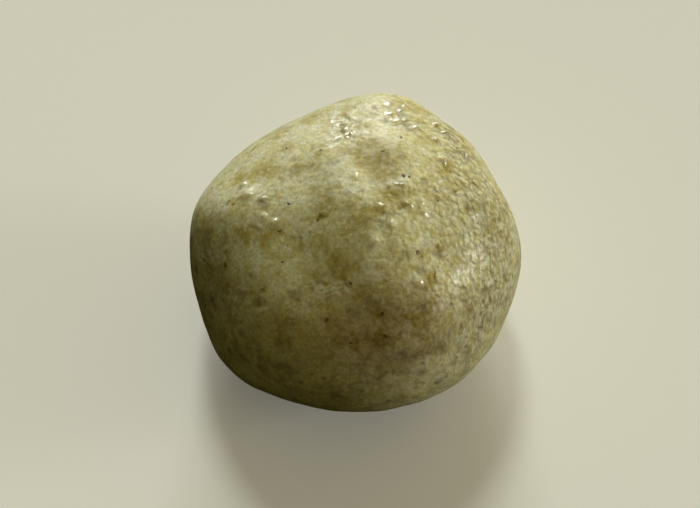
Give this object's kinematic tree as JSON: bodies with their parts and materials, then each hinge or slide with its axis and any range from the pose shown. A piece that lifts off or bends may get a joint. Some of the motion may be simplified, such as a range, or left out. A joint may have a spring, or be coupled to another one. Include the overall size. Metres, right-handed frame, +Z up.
{
  "type": "wheat gluten manju",
  "caption": "Round steamed dumpling of wheat gluten dough flecked with green herb, soft and uneven, with a dimpled crown and a flat foot.",
  "frame": {"origin": "on the flat foot, at the middle of the bottom of the dumpling's box", "axes": "+Z up through the crown, -Y the front with the shaded cheek, +X the right"},
  "size_m": [0.0456, 0.0454, 0.0339],
  "materials": {
    "dough": "satin",
    "herb_fleck": "satin"
  },
  "bodies": {
    "root": {"manju": "dough"}
  },
  "joints": []
}
